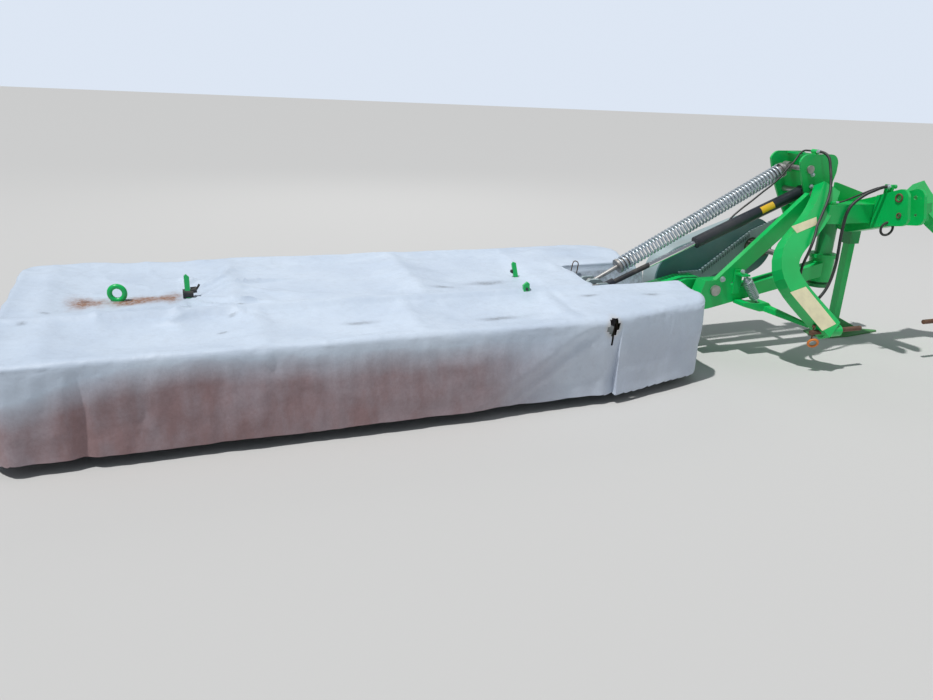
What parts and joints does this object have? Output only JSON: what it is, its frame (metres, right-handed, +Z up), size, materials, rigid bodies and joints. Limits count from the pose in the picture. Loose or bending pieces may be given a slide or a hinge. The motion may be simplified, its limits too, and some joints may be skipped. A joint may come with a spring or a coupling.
{
  "type": "disc mower",
  "caption": "Side-mounted disc mower with a fabric-covered cutter bar, lift cylinder and balance spring on a three-point headstock, parked on its stand.",
  "frame": {"origin": "middle of the machine's bounding box, on the floor it stands on", "axes": "+Z up, +X from the cover's outer end towards the headstock, -Y towards the tractor"},
  "size_m": [5.506, 1.3, 1.218],
  "materials": {
    "green_paint": "semi-gloss, scratched at the edges",
    "pin_steel": "rusty",
    "bright_steel": "zinc plated",
    "cylinder_black": "satin",
    "chrome_rod": "polished",
    "spring_zinc": "zinc plated",
    "guard_grey": "satin, dusty",
    "guard_teal": "satin",
    "bar_steel": "worn and dirty",
    "disc_steel": "worn, lightly rusted",
    "hose_rubber": "matt, dusty",
    "cover_sheet": "coated fabric, dusty and stained"
  },
  "bodies": {
    "headstock": {"near_leg": "green_paint", "far_leg": "green_paint", "near_link_pin": "pin_steel", "far_link_pin": "pin_steel", "pivot_column": "green_paint", "top_frame": "green_paint", "top_link_clevis": "green_paint", "stand_sleeve": "green_paint", "hose_crown": "hose_rubber", "hose_drop": "hose_rubber", "hose_arm": "hose_rubber"},
    "stand": {"parking_leg": "green_paint"},
    "swing_frame": {"swing_arm": "green_paint", "tower": "green_paint", "tower_pins": "bright_steel", "diagonal_brace": "green_paint", "rear_arm": "green_paint", "lift_pin": "bright_steel", "belt_guard": "guard_grey", "guard_plate": "guard_teal", "drive_bearing": "bar_steel", "latch_link": "green_paint", "latch_spring": "spring_zinc"},
    "drive": {"drive_shaft": "bright_steel"},
    "mower": {"cutterbar": "bar_steel", "skids": "bar_steel", "outer_shoe": "green_paint", "inner_shoe": "green_paint", "gearbox": "bar_steel", "hinge_carrier": "green_paint", "cover_beam": "green_paint", "cover_ribs": "green_paint", "hinge_rod": "bright_steel", "pull_bracket": "guard_grey", "cover_rear": "cover_sheet", "cover_fittings": "green_paint"},
    "front_guard": {"cover_front": "cover_sheet", "guard_frame": "green_paint", "guard_lugs": "green_paint"},
    "cylinder_barrel": {"lift_barrel": "cylinder_black"},
    "cylinder_rod": {"lift_rod": "chrome_rod", "rod_eye": "cylinder_black"},
    "spring_unit": {"spring_head": "bright_steel", "balance_spring": "spring_zinc"},
    "spring_pull": {"spring_rod": "bright_steel"},
    "disc_1_body": {"disc_1": "disc_steel"},
    "disc_2_body": {"disc_2": "disc_steel"},
    "disc_3_body": {"disc_3": "disc_steel"},
    "disc_4_body": {"disc_4": "disc_steel"},
    "disc_5_body": {"disc_5": "disc_steel"},
    "disc_6_body": {"disc_6": "disc_steel"},
    "disc_7_body": {"disc_7": "disc_steel"},
    "disc_8_body": {"disc_8": "disc_steel"}
  },
  "joints": [
    {"name": "stand_slide", "type": "slide", "parent": "headstock", "child": "stand", "axis": [0, 0, 1], "range_m": [0, 0.42]},
    {"name": "breakaway", "type": "hinge", "parent": "headstock", "child": "swing_frame", "pos_m": [1.80703, -0.05, 0.6], "axis": [0, 0, -1], "range_deg": [0, 25]},
    {"name": "drive_spin", "type": "hinge", "parent": "swing_frame", "child": "drive", "pos_m": [1.41703, -0.01, 0.6], "axis": [0, -1, 0], "continuous": true},
    {"name": "lift", "type": "hinge", "parent": "swing_frame", "child": "mower", "pos_m": [0.94703, 0.05, 0.41], "axis": [0, 1, 0], "range_deg": [-8, 72]},
    {"name": "guard_hinge", "type": "hinge", "parent": "mower", "child": "front_guard", "pos_m": [-1.05297, -0.18, 0.5], "axis": [-1, 0, 0], "range_deg": [0, 85]},
    {"name": "barrel_swing", "type": "hinge", "parent": "swing_frame", "child": "cylinder_barrel", "pos_m": [1.59703, 0.005, 0.965], "axis": [0, 1, 0], "range_deg": [-3.92, 31.32]},
    {"name": "rod_slide", "type": "slide", "parent": "cylinder_barrel", "child": "cylinder_rod", "axis": [0.9287, 0, 0.3708], "range_m": [-0.064, 0.5599]},
    {"name": "spring_swing", "type": "hinge", "parent": "swing_frame", "child": "spring_unit", "pos_m": [1.53703, 0.095, 1.105], "axis": [0, 1, 0], "range_deg": [-3.6, 28.44]},
    {"name": "spring_slide", "type": "slide", "parent": "spring_unit", "child": "spring_pull", "axis": [0.891, 0, 0.454], "range_m": [-0.0738, 0.6479], "deforming": ["balance_spring"]},
    {"name": "disc_1_spin", "type": "hinge", "parent": "mower", "child": "disc_1_body", "pos_m": [-2.45297, -0.15, 0.11], "axis": [0, 0, 1], "continuous": true},
    {"name": "disc_2_spin", "type": "hinge", "parent": "mower", "child": "disc_2_body", "pos_m": [-2.05297, -0.15, 0.11], "axis": [0, 0, 1], "continuous": true},
    {"name": "disc_3_spin", "type": "hinge", "parent": "mower", "child": "disc_3_body", "pos_m": [-1.65297, -0.15, 0.11], "axis": [0, 0, 1], "continuous": true},
    {"name": "disc_4_spin", "type": "hinge", "parent": "mower", "child": "disc_4_body", "pos_m": [-1.25297, -0.15, 0.11], "axis": [0, 0, 1], "continuous": true},
    {"name": "disc_5_spin", "type": "hinge", "parent": "mower", "child": "disc_5_body", "pos_m": [-0.85297, -0.15, 0.11], "axis": [0, 0, 1], "continuous": true},
    {"name": "disc_6_spin", "type": "hinge", "parent": "mower", "child": "disc_6_body", "pos_m": [-0.45297, -0.15, 0.11], "axis": [0, 0, 1], "continuous": true},
    {"name": "disc_7_spin", "type": "hinge", "parent": "mower", "child": "disc_7_body", "pos_m": [-0.05297, -0.15, 0.11], "axis": [0, 0, 1], "continuous": true},
    {"name": "disc_8_spin", "type": "hinge", "parent": "mower", "child": "disc_8_body", "pos_m": [0.34703, -0.15, 0.11], "axis": [0, 0, 1], "continuous": true}
  ],
  "couplings": [
    {"joint": "barrel_swing", "follows": "lift", "ratio": 0.428},
    {"joint": "rod_slide", "follows": "lift", "m_per_rad": 0.444},
    {"joint": "spring_swing", "follows": "lift", "ratio": 0.388},
    {"joint": "spring_slide", "follows": "lift", "m_per_rad": 0.514},
    {"joint": "disc_2_spin", "follows": "disc_1_spin", "ratio": -1},
    {"joint": "disc_3_spin", "follows": "disc_1_spin", "ratio": 1},
    {"joint": "disc_4_spin", "follows": "disc_1_spin", "ratio": -1},
    {"joint": "disc_5_spin", "follows": "disc_1_spin", "ratio": 1},
    {"joint": "disc_6_spin", "follows": "disc_1_spin", "ratio": -1},
    {"joint": "disc_7_spin", "follows": "disc_1_spin", "ratio": 1},
    {"joint": "disc_8_spin", "follows": "disc_1_spin", "ratio": -1},
    {"joint": "drive_spin", "follows": "disc_1_spin", "ratio": 0.3333}
  ]
}
